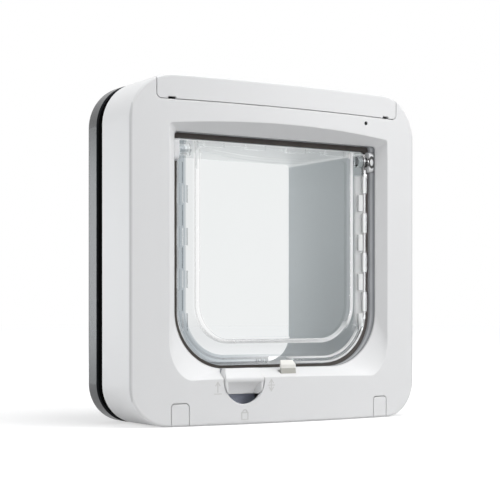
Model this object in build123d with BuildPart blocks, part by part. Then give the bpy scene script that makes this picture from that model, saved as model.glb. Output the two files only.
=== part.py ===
import os
from math import cos, radians, sin, sqrt

from build123d import *

# A cat flap for a door. X runs to the right seen from the room, Y into the door and Z up.
# The origin is the middle of the passage on the plane where the housing meets the door.
# Sizes are in millimetres, and "ahead" means the distance from that plane towards the room.

# Housing shell
face_width = 210.0
face_height = 210.0
side_depth = 37.5
crown = 9.1
top_corner = 28.0
bottom_corner = 24.0
edge_round = 1.5
wall = 2.5
cut_clear = 2.0

# Recess: from the face's edges to its mouth, and to the throat where the white slope ends
mouth_side_margin = 24.2
mouth_top_margin = 25.5
mouth_bottom_margin = 28.3
mouth_corner = 1.5
mouth_sag = 5.0
throat_side_margin = 30.6
throat_top_margin = 33.4
throat_bottom_margin = 33.7
throat_corner = 35.0
throat_top_corner = 2.0
throat_ahead = 35.7

# Grey ring behind the throat, with the groove for the reader coil
neck_step = 2.3
neck_ahead = 31.5
former_thick = 4.6
former_wall = 2.6
former_back = 11.0
bobbin_front = 21.6
coil_back = 12.6
coil_front = 20.1
coil_depth = 3.0
coil_gap = 0.1

# Passage lining, stepped in from the grey ring
sleeve_side_step = 1.1
sleeve_top_step = 3.1
sleeve_bottom_step = 0.3
sleeve_corner = 18.0
sleeve_top_corner = 3.0
sleeve_wall = 2.0
sleeve_ahead = 27.4
sleeve_behind = 62.5
sleeve_flange = 4.0

# Outdoor frame and its seal
frame_gap = 8.3
frame_thick = 14.3
frame_border = 12.0
frame_skin = 3.0
frame_round = 4.0
seal_thick = 5.8
seal_inset = 1.5
seal_width = 12.0

# Flap: its gaps in the grey ring, its window and the tabs on its rim
flap_side_gap = 1.9
flap_top_gap = 4.3
flap_bottom_gap = 2.1
flap_corner = 33.4
flap_top_corner = 3.0
flap_sheet = 2.6
flap_sheet_back = 28.6
rim_wall = 1.6
rim_back = 28.0
rim_front = 33.0
window_side_margin = 13.1
window_bottom_margin = 14.5
window_top_margin = 7.3
window_rise = 4.6
window_corner = 23.0
window_front = 33.9
tab_count = 4
tab_drop = 6.9
tab_width = 3.0
tab_gap = 0.4
outer_tab_length = 12.5
inner_tab_length = 10.5
top_tab_pitch = 30.0
top_tab_length = 14.0
stiffener_pitch = 3.5
stiffener_count = 3
stiffener_width = 1.2
stiffener_height = 2.9
notch_half = 7.5
notch_height = 4.6

# Draught strip in the grey ring, close around the flap
strip_gap = 0.35
strip_top_gap = 1.5
strip_back = 28.2
strip_front = 31.4

# Hinge
hinge_ahead = 31.5
hinge_drop = 5.9
spigot_radius = 2.5
spigot_length = 3.6
barrel_radius = 3.6
barrel_length = 8.0
bush_gap = 0.4
bush_width = 7.0
bush_height = 13.0
bush_depth = 4.9
bush_cup_radius = 3.2
bush_cup_depth = 1.6
running_gap = 0.05

# Battery cover and what it hides
cover_side_margin = 16.5
cover_strip = 15.0
cover_corner = 3.0
cover_back = 8.5
cover_gap = 0.4
cover_wall = 2.2
cell_radius = 7.25
cell_length = 50.5
cell_spacing = 15.0
cell_back = 17.0
cell_gap = 0.3
cell_nub_radius = 2.75
cell_nub = 1.0
tray_drop = 21.0
tray_wall = 1.5
tray_lip = 4.0
tray_height = 15.0
contact_thick = 0.4
contact_space = 4.5
contact_half = 4.5
contact_gap = 0.05
spring_tip = 2.6
shelf_thick = 2.0
shelf_reach = 12.0
pry_inset = 9.5
pry_width = 5.0
pry_height = 1.2
button_offset = 6.8
button_drop = 11.0
button_radius = 3.0
button_front = 38.0
button_plate_front = 34.0
button_plate_reach = 4.5
button_flange = 1.0

# Fixing screws, their posts and the small covers in front of the lower pair
screw_side_margin = 31.1
screw_end_margin = 8.0
screw_radius = 2.0
screw_head_radius = 3.75
screw_head = 2.6
screw_seat = 25.0
screw_into_frame = 10.5
post_half = 4.8
cap_half = 5.5
cap_height = 13.4
cap_corner = 2.0
cap_back = 27.0
lid_screw_margin = 6.5
lid_screw_drop = 45.0
lid_screw_radius = 1.5
lid_screw_head_radius = 3.0
lid_screw_head = 1.6
lid_screw_length = 10.0
lid_post_radius = 4.2

# Indicator and circuit board
lamp_offset = 4.0
lamp_drop = 19.8
lamp_radius = 1.2
board_front = 29.6
board_thick = 1.6
board_overhang = 2.2
board_side_margin = 5.0
board_drop = 15.5
board_height = 69.5
board_shelf_inset = 4.0
board_shelf_height = 12.5
board_strip = 19.5
stand_off_radius = 3.0
chip_half = 5.0
part_height = 3.0

# Latch
latch_x = 2.55
latch_half = 5.55
latch_front = 42.5
latch_back = 39.6
latch_front_rise = 1.9
latch_back_rise = 5.3
latch_draft = 1.1
latch_foot_height = 9.0
latch_step_height = 23.0
latch_step_back = 26.0
latch_slot_gap = 0.4
latch_travel = 5.0
peg_radius = 1.1
peg_length = 4.0
slide_gap = 0.3
guide_wall = 2.0
guide_lip = 1.0
guide_height = 24.0

# Crank and motor
crank_ahead = 34.5
crank_height = 17.0
crank_swing = 60.0
crank_radius = 7.0
crank_thick = 2.0
crank_gap = 0.5
crank_pin_radius = 1.2
crank_pin_length = 2.7
crank_pin_gap = 0.3
motor_radius = 6.0
motor_length = 24.0
motor_shaft_radius = 1.0
motor_gap = 2.8
saddle_inset = 4.0
cradle_side = 1.5

# Lock knob
knob_x = -31.2
knob_drop = 7.4
knob_radius = 13.7
knob_gap = 0.3
knob_foot = 38.2
knob_proud = 0.4
knob_top = 7.7
knob_crest = 41.9
knob_brow = 2.6
knob_chin = 0.5
knob_scoop = 8.0
knob_scoop_ahead = 40.5
knob_scoop_sag = 1.0
scoop_half = 13.2
scoop_deep_half = 9.3
disc_back = 34.6
disc_flat = 6.0
spindle_radius = 4.0
spindle_gap = 0.4
lug_half = 14.5
lug_drop = 14.8
lug_front = 33.5
lug_back = 31.0
cam_front = 27.0
cam_back = 22.0
cam_flat = 6.9
detent_thick = 1.0
detent_half = 8.0

# Places that follow from the sizes above
half_width = face_width / 2
half_height = face_height / 2
crest_ahead = side_depth + crown
cut_ahead = crest_ahead + cut_clear
crown_radius = (half_width**2 + crown**2) / (2 * crown)
rear_face = -frame_gap - frame_thick
mouth_half = half_width - mouth_side_margin
mouth_top = half_height - mouth_top_margin
mouth_bottom = mouth_bottom_margin - half_height
throat_half = half_width - throat_side_margin
throat_top = half_height - throat_top_margin
throat_bottom = throat_bottom_margin - half_height
neck_half = throat_half - neck_step
sleeve_half = neck_half - sleeve_side_step
sleeve_top = throat_top - sleeve_top_step
sleeve_bottom = throat_bottom + sleeve_bottom_step
flap_half = neck_half - flap_side_gap
flap_top = throat_top - flap_top_gap
flap_bottom = throat_bottom + flap_bottom_gap
window_half = flap_half - window_side_margin
window_top = flap_top - window_top_margin
window_bottom = flap_bottom + window_bottom_margin
notch_top = flap_bottom + notch_height
tab_pitch = (flap_top - flap_bottom - flap_corner) / tab_count
hinge_z = flap_top - hinge_drop
bush_face = flap_half + bush_gap
spigot_reach = bush_face + spigot_length
cover_half = half_width - cover_side_margin
cover_bottom = half_height - cover_strip
tray_floor = half_height - tray_drop
pry_x = cover_half - pry_inset
button_z = half_height - button_drop
screw_x = half_width - screw_side_margin
screw_z = half_height - screw_end_margin
cap_top = cap_height - half_height
lid_screw_x = half_width - lid_screw_margin
lid_screw_z = half_height - lid_screw_drop
cell_start = tray_wall / 2 + contact_thick + contact_gap
tray_half = cell_start + cell_length + contact_space
lamp_x = tray_half + tray_wall + lamp_offset
lamp_z = half_height - lamp_drop
board_left = lamp_x - board_overhang
board_right = half_width - board_side_margin
board_shelf_right = board_right - board_shelf_inset
board_top = half_height - board_drop
board_bottom = board_top - board_height
latch_front_top = throat_bottom + latch_front_rise
latch_back_top = throat_bottom + latch_back_rise
latch_foot = latch_foot_height - half_height
latch_step = latch_step_height - half_height
guide_top = guide_height - half_height
crank_z = crank_height - half_height
knob_z = throat_bottom - knob_drop
lug_bottom = knob_z - lug_drop


def facing(ahead):
    """A sketch plane so far ahead of the door, with X to the right and Z up."""
    return Plane.XZ.offset(ahead)


def upright_outline(half, bottom, top, bottom_radius, top_radius):
    """An upright outline with one radius for its lower corners and one for its upper corners."""
    with BuildSketch() as outline:
        with Locations((0, (bottom + top) / 2)):
            Rectangle(2 * half, top - bottom)
        fillet(outline.vertices().group_by(Axis.Y)[0], bottom_radius)
        fillet(outline.vertices().group_by(Axis.Y)[-1], top_radius)
    return outline.sketch


def face_outline(inset):
    """The square outline that the housing and the outdoor frame share, drawn in by an inset."""
    return upright_outline(
        half_width - inset,
        inset - half_height,
        half_height - inset,
        bottom_corner - inset,
        top_corner - inset,
    )


def sleeve_outline(grow):
    """The passage's section, grown outwards."""
    return upright_outline(
        sleeve_half + grow,
        sleeve_bottom - grow,
        sleeve_top + grow,
        sleeve_corner + grow,
        sleeve_top_corner + grow,
    )


def throat_outline(grow):
    """The inner end of the white slope, grown outwards."""
    return upright_outline(
        throat_half + grow,
        throat_bottom - grow,
        throat_top + grow,
        throat_corner + grow,
        throat_top_corner + grow,
    )


def neck_outline(grow):
    """The opening in which the flap hangs, grown outwards."""
    return upright_outline(
        neck_half + grow,
        throat_bottom - grow,
        throat_top + grow,
        throat_corner - neck_step + grow,
        throat_top_corner + grow,
    )


def face_ahead(x):
    """How far the crowned face stands ahead of the door at a distance x from its middle."""
    return crest_ahead - crown_radius + sqrt(crown_radius**2 - x**2)


def mouth_outline(grow):
    """The white slope carried on to a plane before the crown, so that it meets the face at the mouth."""
    run = cut_ahead - throat_ahead
    side_run = face_ahead(mouth_half) - throat_ahead
    middle_run = crest_ahead - throat_ahead
    half = throat_half + (mouth_half - throat_half) * run / side_run + grow
    top = throat_top + (mouth_top - throat_top) * run / middle_run + grow
    bottom = throat_bottom + (mouth_bottom - throat_bottom) * run / middle_run - grow
    with BuildSketch() as outline:
        with BuildLine():
            sill = ThreePointArc((-half, bottom - mouth_sag), (0, bottom), (half, bottom - mouth_sag))
            Polyline(sill @ 1, (half, top), (-half, top), sill @ 0)
        make_face()
        fillet(outline.vertices().group_by(Axis.Y)[0], mouth_corner + grow)
        fillet(outline.vertices().group_by(Axis.Y)[-1], throat_top_corner + grow)
    return outline.sketch


def crowned_block(inset):
    """The housing's outer form, crowned in front, drawn in by an inset on every side but the back."""
    wide = half_width + cut_clear
    with BuildPart() as crowned:
        with BuildSketch(facing(0)):
            add(face_outline(inset))
        extrude(amount=cut_ahead)
        with BuildSketch(Plane.XY.offset(-half_height - cut_clear)):
            with BuildLine():
                edge_y = inset - face_ahead(wide)
                front = ThreePointArc((-wide, edge_y), (0, inset - crest_ahead), (wide, edge_y))
                Polyline(front @ 1, (wide, cut_clear), (-wide, cut_clear), front @ 0)
            make_face()
        extrude(amount=face_height + 2 * cut_clear, mode=Mode.INTERSECT)
        if inset == 0:
            fillet(crowned.faces().sort_by(Axis.Y)[0].edges(), edge_round)
    return crowned.part


def block(left, right, back, front, bottom, top, mode=Mode.ADD):
    """A straight block by its limits, where back and front are distances ahead of the door."""
    with Locations(((left + right) / 2, -(back + front) / 2, (bottom + top) / 2)):
        Box(right - left, front - back, top - bottom, mode=mode)


def rod(x, z, radius, back, front, mode=Mode.ADD):
    """A round rod that points at the room."""
    with Locations(Location((x, -(back + front) / 2, z), (90, 0, 0))):
        Cylinder(radius, front - back, mode=mode)


def cross_rod(left, right, ahead, z, radius, mode=Mode.ADD):
    """A round rod that runs across the door."""
    with Locations(Location(((left + right) / 2, -ahead, z), (0, 90, 0))):
        Cylinder(radius, right - left, mode=mode)


os.makedirs("parts", exist_ok=True)

outer_form = crowned_block(0)
lid_form = crowned_block(cover_wall)
screw_places = [(x, z) for x in (-screw_x, screw_x) for z in (-screw_z, screw_z)]
lid_screw_places = [(x, z) for x in (-lid_screw_x, lid_screw_x) for z in (-lid_screw_z, lid_screw_z)]

# Hollow of the housing, less the sloped collar that surrounds the recess
with BuildPart() as hollow:
    add(crowned_block(wall))
    with BuildSketch(facing(throat_ahead)):
        add(throat_outline(wall))
    with BuildSketch(facing(cut_ahead)):
        add(mouth_outline(wall))
    loft(ruled=True, mode=Mode.SUBTRACT)

# White shell with its recess, covers' openings and inner posts
with BuildPart() as front_housing:
    add(outer_form)
    add(hollow.part, mode=Mode.SUBTRACT)
    for rib_x in (-cell_length, cell_length):
        rib_front = throat_ahead + tray_lip
        block(rib_x - wall / 2, rib_x + wall / 2, throat_ahead, rib_front, throat_top + wall / 2, tray_floor)
    with BuildSketch(facing(throat_ahead)):
        add(throat_outline(0))
    with BuildSketch(facing(cut_ahead)):
        add(mouth_outline(0))
    loft(ruled=True, mode=Mode.SUBTRACT)
    with BuildSketch(facing(cover_back - cover_gap)):
        add(
            upright_outline(
                cover_half + cover_gap,
                cover_bottom - cover_gap,
                half_height + wall,
                cover_corner + cover_gap,
                cover_gap,
            )
        )
    extrude(amount=cut_ahead, mode=Mode.SUBTRACT)
    for side in (-1, 1):
        with BuildSketch(facing(cap_back - cover_gap)):
            with Locations((side * screw_x, 0)):
                add(
                    upright_outline(
                        cap_half + cover_gap,
                        -half_height - wall,
                        cap_top + cover_gap,
                        cover_gap,
                        cap_corner + cover_gap,
                    )
                )
        extrude(amount=cut_ahead, mode=Mode.SUBTRACT)
        left, right = side * screw_x - post_half, side * screw_x + post_half
        inner_top = half_height - wall
        block(left, right, wall, screw_seat, -inner_top - wall / 2, cap_top)
        block(left, right, wall, screw_seat, screw_z - post_half, screw_z + post_half - cover_gap)
        block(left, right, wall, cover_back - 2 * cover_gap, screw_z - post_half, inner_top + wall / 2)
    for x, z in lid_screw_places:
        rod(x, z, lid_post_radius, wall, wall + lid_screw_length + wall)
        rod(x, z, lid_screw_radius + running_gap, 0, lid_screw_length + wall / 2, mode=Mode.SUBTRACT)
    for x, z in screw_places:
        rod(x, z, screw_radius + slide_gap, 0, cut_ahead - wall, mode=Mode.SUBTRACT)
    rod(lamp_x, lamp_z, lamp_radius + running_gap, board_front, cut_ahead, mode=Mode.SUBTRACT)
    rod(knob_x, knob_z, knob_radius + knob_gap, throat_ahead - wall, cut_ahead, mode=Mode.SUBTRACT)
    block(
        latch_x - latch_half - latch_slot_gap,
        latch_x + latch_half + latch_slot_gap,
        latch_back - 2 * slide_gap,
        latch_front + slide_gap,
        mouth_bottom - 2 * wall,
        throat_bottom + wall,
        mode=Mode.SUBTRACT,
    )
front_housing.part.label = "front_housing"
export_step(front_housing.part, "parts/front_housing.step")

# White strip that clips over the top front edge, with two notches to pry it off by
with BuildPart() as battery_cover:
    add(outer_form)
    add(lid_form, mode=Mode.SUBTRACT)
    with BuildSketch(facing(cover_back)):
        add(upright_outline(cover_half, cover_bottom, half_height + wall, cover_corner, cover_gap))
    extrude(amount=cut_ahead, mode=Mode.INTERSECT)
    for side in (-1, 1):
        left = side * pry_x - pry_width / 2
        notch_low = cover_bottom - pry_height
        notch_high = cover_bottom + pry_height
        block(left, left + pry_width, side_depth, cut_ahead, notch_low, notch_high, mode=Mode.SUBTRACT)
battery_cover.part.label = "battery_cover"
export_step(battery_cover.part, "parts/battery_cover.step")

# White caps before the lower fixing screws
for side, name in ((-1, "screw_cover_left"), (1, "screw_cover_right")):
    with BuildPart() as screw_cover:
        add(outer_form)
        add(lid_form, mode=Mode.SUBTRACT)
        with BuildSketch(facing(cap_back)):
            with Locations((side * screw_x, 0)):
                add(upright_outline(cap_half, -half_height - wall, cap_top, cover_gap, cap_corner))
        extrude(amount=cut_ahead, mode=Mode.INTERSECT)
    screw_cover.part.label = name
    export_step(screw_cover.part, f"parts/{name}.step")

# Plate that closes the housing and lies against the door
tray_back = cell_back - cell_radius - cell_gap - tray_wall
board_back = board_front - board_thick
stand_off_places = (
    (board_right - board_strip / 2, board_bottom + board_strip / 2),
    (board_right - board_strip / 2, board_top - board_shelf_height),
    (board_left + 2 * stand_off_radius, board_top - board_shelf_height / 2),
)
with BuildPart() as back_cover:
    with BuildSketch(facing(0)):
        add(face_outline(wall + coil_gap))
        add(sleeve_outline(sleeve_wall + slide_gap), mode=Mode.SUBTRACT)
    extrude(amount=wall)
    block(-cell_length, cell_length, wall, wall + shelf_reach, tray_floor - shelf_thick, tray_floor)
    for x, z in stand_off_places:
        rod(x, z, stand_off_radius, wall, board_back)
    for x, z in screw_places:
        rod(x, z, screw_radius + slide_gap, 0, wall, mode=Mode.SUBTRACT)
    for x, z in lid_screw_places:
        rod(x, z, lid_screw_radius + slide_gap, 0, wall, mode=Mode.SUBTRACT)
        rod(x, z, lid_screw_head_radius + slide_gap, 0, lid_screw_head + slide_gap, mode=Mode.SUBTRACT)
back_cover.part.label = "back_cover"
export_step(back_cover.part, "parts/back_cover.step")

# Grey ring around the flap: it lines the throat, holds bushes and lock, and carries the reader coil
bobbin_grow = sleeve_wall + slide_gap + former_wall
cam_left = knob_x - knob_radius - spindle_gap
cam_right = knob_x + knob_radius + spindle_gap
sill_floor = throat_bottom - former_thick
with BuildPart() as antenna_former:
    with BuildSketch(facing(bobbin_front)):
        add(
            upright_outline(
                throat_half + former_thick,
                sill_floor,
                throat_top + former_thick,
                sleeve_corner + bobbin_grow,
                sleeve_top_corner + former_thick,
            )
        )
    extrude(amount=throat_ahead - bobbin_front)
    with BuildSketch(facing(former_back)):
        add(sleeve_outline(bobbin_grow + coil_depth))
    extrude(amount=bobbin_front - former_back)
    rod(knob_x, knob_z, spindle_radius + spindle_gap, bobbin_front, throat_ahead, mode=Mode.SUBTRACT)
    lug_top = sill_floor + former_thick / 2
    block(knob_x - lug_half, knob_x + lug_half, lug_back, lug_front, lug_bottom, lug_top)
    rod(knob_x, knob_z, spindle_radius + running_gap, lug_back, lug_front, mode=Mode.SUBTRACT)
    with BuildSketch(facing(neck_ahead)):
        add(neck_outline(0))
    with BuildSketch(facing(throat_ahead)):
        add(throat_outline(0))
    loft(ruled=True, mode=Mode.SUBTRACT)
    with BuildSketch(facing(sleeve_ahead)):
        add(neck_outline(0))
    extrude(amount=neck_ahead - sleeve_ahead, mode=Mode.SUBTRACT)
    with BuildSketch(facing(former_back)):
        add(sleeve_outline(sleeve_wall + slide_gap))
    extrude(amount=sleeve_ahead - former_back, mode=Mode.SUBTRACT)
    with BuildSketch(facing(coil_back)):
        add(sleeve_outline(bobbin_grow + coil_depth + wall))
        add(sleeve_outline(bobbin_grow), mode=Mode.SUBTRACT)
    extrude(amount=coil_front - coil_back, mode=Mode.SUBTRACT)
    slot_back = cam_back - spindle_gap
    slot_front = cam_front + spindle_gap
    block(cam_left, cam_right, slot_back, slot_front, lug_bottom, hinge_z, mode=Mode.SUBTRACT)
    rod(knob_x, knob_z, knob_radius + knob_gap, disc_back - spindle_gap, throat_ahead, mode=Mode.SUBTRACT)
    for side in (-1, 1):
        pocket_end = side * (bush_face + bush_depth + coil_gap)
        left, right = sorted((side * (neck_half - wall), pocket_end))
        pocket_half = bush_width / 2 + coil_gap
        pocket_bottom = hinge_z - bush_height / 2 - coil_gap
        block(
            left,
            right,
            hinge_ahead - pocket_half,
            hinge_ahead + pocket_half,
            pocket_bottom,
            pocket_bottom + bush_height + 2 * coil_gap,
            mode=Mode.SUBTRACT,
        )
antenna_former.part.label = "antenna_former"
export_step(antenna_former.part, "parts/antenna_former.step")

# Soft draught strip stuck in the ring: it follows the flap's edge and leaves room for the bushes
with BuildPart() as draught_strip:
    with BuildSketch(facing(strip_back)):
        add(neck_outline(-running_gap))
        add(
            upright_outline(
                flap_half + strip_gap,
                flap_bottom - strip_gap,
                flap_top + strip_top_gap,
                flap_corner + strip_gap,
                flap_top_corner,
            ),
            mode=Mode.SUBTRACT,
        )
    extrude(amount=strip_front - strip_back)
    bush_room = bush_height / 2 + slide_gap
    for side in (-1, 1):
        left, right = sorted((side * flap_half, side * throat_half))
        block(
            left,
            right,
            strip_back,
            strip_front,
            hinge_z - bush_room,
            hinge_z + bush_room,
            mode=Mode.SUBTRACT,
        )
draught_strip.part.label = "draught_strip"
export_step(draught_strip.part, "parts/draught_strip.step")

# Winding of the chip reader, in the groove of its former
with BuildPart() as antenna_coil:
    with BuildSketch(facing(coil_back + coil_gap)):
        add(sleeve_outline(bobbin_grow + coil_depth - coil_gap))
        add(sleeve_outline(bobbin_grow + coil_gap), mode=Mode.SUBTRACT)
    extrude(amount=coil_front - coil_back - 2 * coil_gap)
antenna_coil.part.label = "antenna_coil"
export_step(antenna_coil.part, "parts/antenna_coil.step")

# Grey lining of the passage, held in the housing by its flange
with BuildPart() as tunnel_sleeve:
    with BuildSketch(facing(-sleeve_behind)):
        add(sleeve_outline(sleeve_wall))
        add(sleeve_outline(0), mode=Mode.SUBTRACT)
    extrude(amount=sleeve_behind + sleeve_ahead)
    with BuildSketch(facing(wall)):
        add(sleeve_outline(sleeve_wall + sleeve_flange))
        add(sleeve_outline(sleeve_wall / 2), mode=Mode.SUBTRACT)
    extrude(amount=sleeve_wall)
    block(cam_left, cam_right, slot_back, throat_ahead, lug_bottom, throat_bottom + wall, mode=Mode.SUBTRACT)
tunnel_sleeve.part.label = "tunnel_sleeve"
export_step(tunnel_sleeve.part, "parts/tunnel_sleeve.step")

# Grey outdoor frame, open towards the door between its border and its inner collar
frame_opening = sleeve_wall + slide_gap
with BuildPart() as rear_frame:
    with BuildSketch(facing(rear_face)):
        add(face_outline(0))
        add(sleeve_outline(frame_opening), mode=Mode.SUBTRACT)
    extrude(amount=frame_thick)
    fillet(rear_frame.faces().sort_by(Axis.Y)[-1].outer_wire().edges(), frame_round)
    with BuildSketch(facing(rear_face + frame_skin)):
        add(face_outline(frame_border))
        add(sleeve_outline(frame_opening + frame_skin), mode=Mode.SUBTRACT)
    extrude(amount=frame_thick, mode=Mode.SUBTRACT)
    for x, z in screw_places:
        hole_end = -frame_gap - screw_into_frame - wall / 2
        rod(x, z, screw_radius + running_gap, hole_end, -frame_gap, mode=Mode.SUBTRACT)
rear_frame.part.label = "rear_frame"
export_step(rear_frame.part, "parts/rear_frame.step")

# Black foam ring on the outdoor frame's door side
with BuildPart() as weather_seal:
    with BuildSketch(facing(-frame_gap)):
        add(face_outline(seal_inset))
        add(face_outline(seal_inset + seal_width), mode=Mode.SUBTRACT)
    extrude(amount=seal_thick)
    for x, z in screw_places:
        rod(x, z, screw_radius + slide_gap, -frame_gap, 0, mode=Mode.SUBTRACT)
weather_seal.part.label = "weather_seal"
export_step(weather_seal.part, "parts/weather_seal.step")


def flap_outline(inset):
    """The flap's edge, drawn in by an inset."""
    return upright_outline(
        flap_half - inset, flap_bottom + inset, flap_top - inset, flap_corner - inset, flap_top_corner
    )


def window_outline(inset):
    """The raised window of the flap, whose top edge sags towards the middle."""
    half = window_half - inset
    shoulder = window_top + window_rise - inset
    with BuildSketch() as outline:
        with BuildLine():
            brow = ThreePointArc((half, shoulder), (0, window_top - inset), (-half, shoulder))
            Polyline(brow @ 1, (-half, window_bottom + inset), (half, window_bottom + inset), brow @ 0)
        make_face()
        fillet(outline.vertices().group_by(Axis.Y)[0], window_corner - inset)
        fillet(outline.vertices().group_by(Axis.Y)[-1], flap_top_corner)
    return outline.sketch


# Clear flap: sheet, raised window, rim with staggered tabs, and a barrel and spigot at each upper corner
sheet_front = flap_sheet_back + flap_sheet
with BuildPart() as flap_panel:
    with BuildSketch(facing(flap_sheet_back)):
        add(window_outline(0))
    extrude(amount=window_front - flap_sheet_back)
    chamfer(flap_panel.faces().sort_by(Axis.Y)[0].edges(), rim_wall / 2)
    with BuildSketch(facing(flap_sheet_back)):
        add(flap_outline(0))
    extrude(amount=flap_sheet)
    with BuildSketch(facing(rim_back)):
        add(flap_outline(0))
        add(flap_outline(rim_wall), mode=Mode.SUBTRACT)
    extrude(amount=sheet_front + flap_sheet / 4 - rim_back)
    with BuildSketch(facing(flap_sheet_back)):
        add(window_outline(flap_sheet))
    extrude(amount=window_front - flap_sheet - flap_sheet_back, mode=Mode.SUBTRACT)
    for side in (-1, 1):
        inner_edge = flap_half - 2 * tab_width - tab_gap
        for step in range(tab_count):
            z = flap_bottom + flap_corner + tab_pitch * (step + 0.5) - tab_drop
            left, right = sorted((side * (flap_half - tab_width), side * flap_half))
            block(left, right, flap_sheet_back, rim_front, z - outer_tab_length / 2, z + outer_tab_length / 2)
            z = z - tab_pitch / 2
            left, right = sorted((side * inner_edge, side * (inner_edge + tab_width)))
            block(left, right, flap_sheet_back, rim_front, z - inner_tab_length / 2, z + inner_tab_length / 2)
        for step in range(tab_count // 2):
            x = side * top_tab_pitch * (step + 0.5)
            left, right = x - top_tab_length / 2, x + top_tab_length / 2
            block(left, right, flap_sheet_back, rim_front, flap_top - tab_width, flap_top)
        for step in range(stiffener_count):
            x = latch_x + side * (notch_half + stiffener_pitch * (step + 0.5))
            left, right = x - stiffener_width / 2, x + stiffener_width / 2
            block(left, right, flap_sheet_back, rim_front, flap_bottom, flap_bottom + stiffener_height)
        left, right = sorted((side * (flap_half - barrel_length), side * flap_half))
        cross_rod(left, right, hinge_ahead, hinge_z, barrel_radius)
        left, right = sorted((side * (flap_half - barrel_length), side * spigot_reach))
        cross_rod(left, right, hinge_ahead, hinge_z, spigot_radius)
    block(
        latch_x - notch_half,
        latch_x + notch_half,
        rim_back,
        rim_front,
        flap_bottom,
        notch_top,
        mode=Mode.SUBTRACT,
    )
flap_panel.part.label = "flap_panel"
export_step(flap_panel.part, "parts/flap_panel.step")

# Bushes for the spigots, cupped towards the flap and set into the grey ring
for side, name in ((-1, "hinge_bush_left"), (1, "hinge_bush_right")):
    left, right = sorted((side * bush_face, side * (bush_face + bush_depth)))
    with BuildPart() as hinge_bush:
        block(
            left,
            right,
            hinge_ahead - bush_width / 2,
            hinge_ahead + bush_width / 2,
            hinge_z - bush_height / 2,
            hinge_z + bush_height / 2,
        )
        fillet(hinge_bush.edges().filter_by(Axis.X), bush_width / 3)
        cross_rod(left, right, hinge_ahead, hinge_z, spigot_radius + running_gap, mode=Mode.SUBTRACT)
        cup_left, cup_right = sorted((side * bush_face, side * (bush_face + bush_cup_depth)))
        cross_rod(cup_left, cup_right, hinge_ahead, hinge_z, bush_cup_radius, mode=Mode.SUBTRACT)
    hinge_bush.part.label = name
    export_step(hinge_bush.part, f"parts/{name}.step")

# Open tray for the cells, with the wall that holds the learning button
cell_z = tray_floor + tray_wall + cell_radius + cell_gap
cell_front = cell_back + cell_spacing
tray_front = cell_front + cell_radius + cell_gap
tray_top = tray_floor + tray_height
plate_back = button_plate_front - tray_wall
button_x = -tray_half - button_offset
with BuildPart() as battery_tray:
    tray_end = tray_half + tray_wall
    block(-tray_end, tray_end, tray_back, tray_front + tray_wall / 2, tray_floor, tray_floor + tray_wall)
    block(-tray_end, tray_end, tray_back, tray_back + tray_wall, tray_floor, tray_top)
    block(-tray_end, tray_end, tray_front, tray_front + tray_wall / 2, tray_floor, tray_floor + tray_lip)
    for left in (-tray_end, -tray_wall / 2, tray_half):
        block(left, left + tray_wall, tray_back, tray_front, tray_floor, tray_top)
    plate_left = button_x - button_plate_reach
    block(plate_left, -tray_half, plate_back, button_plate_front, tray_floor, tray_top)
    rod(button_x, button_z, button_radius + running_gap, plate_back, button_plate_front, mode=Mode.SUBTRACT)
battery_tray.part.label = "battery_tray"
export_step(battery_tray.part, "parts/battery_tray.step")

# Four cells in two rows, each row head to tail
with BuildPart() as battery_cells:
    for side in (-1, 1):
        for ahead in (cell_back, cell_front):
            near, far = cell_start, cell_start + cell_length - cell_nub
            left, right = sorted((side * near, side * far))
            cross_rod(left, right, ahead, cell_z, cell_radius)
            left, right = sorted((side * far, side * (far + cell_nub)))
            cross_rod(left, right, ahead, cell_z, cell_nub_radius)
battery_cells.part.label = "battery_cells"
export_step(battery_cells.part, "parts/battery_cells.step")

# Contact plates at the middle wall, and sprung ones at the ends of the tray
with BuildPart() as battery_contacts:
    for side in (-1, 1):
        for ahead in (cell_back, cell_front):
            bottom, top = cell_z - contact_half, cell_z + contact_half
            left, right = sorted((side * tray_wall / 2, side * (tray_wall / 2 + contact_thick)))
            block(left, right, ahead - contact_half, ahead + contact_half, bottom, top)
            left, right = sorted((side * tray_half, side * (tray_half - contact_thick)))
            block(left, right, ahead - contact_half, ahead + contact_half, bottom, top)
            tip = tray_half - contact_space + contact_gap
            left, right = sorted((side * tip, side * tray_half))
            cross_rod(left, right, ahead, cell_z, spring_tip)
battery_contacts.part.label = "battery_contacts"
export_step(battery_contacts.part, "parts/battery_contacts.step")

# Learning button, held from behind by its flange
with BuildPart() as memory_button:
    flange_front = plate_back - slide_gap
    rod(button_x, button_z, button_radius, flange_front - button_flange, button_front)
    chamfer(memory_button.faces().sort_by(Axis.Y)[0].edges(), button_radius / 4)
    rod(button_x, button_z, button_radius + button_flange, flange_front - button_flange, flange_front)
memory_button.part.label = "memory_button"
export_step(memory_button.part, "parts/memory_button.step")

# Board with its chip, coil driver and capacitor, on the back cover's stand-offs
with BuildPart() as circuit_board:
    shelf_bottom = board_top - board_shelf_height
    strip_left = board_right - board_strip
    block(board_left, board_shelf_right, board_back, board_front, shelf_bottom, board_top)
    block(strip_left, board_right, board_back, board_front, board_bottom, shelf_bottom + board_thick)
    strip_middle = (strip_left + board_right) / 2
    chip_z = (board_bottom + shelf_bottom) / 2
    block(
        strip_middle - chip_half,
        strip_middle + chip_half,
        board_front,
        board_front + part_height / 2,
        chip_z - chip_half,
        chip_z + chip_half,
    )
    rod(strip_middle, chip_z - 3 * chip_half, part_height, board_front, board_front + 2 * part_height)
    lamp_top = board_front + part_height / 2
    lamp_left = lamp_x - lamp_radius
    lamp_low = lamp_z - lamp_radius
    lamp_side = 2 * lamp_radius
    block(lamp_left, lamp_left + lamp_side, board_front, lamp_top, lamp_low, lamp_low + lamp_side)
circuit_board.part.label = "circuit_board"
export_step(circuit_board.part, "parts/circuit_board.step")

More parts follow.
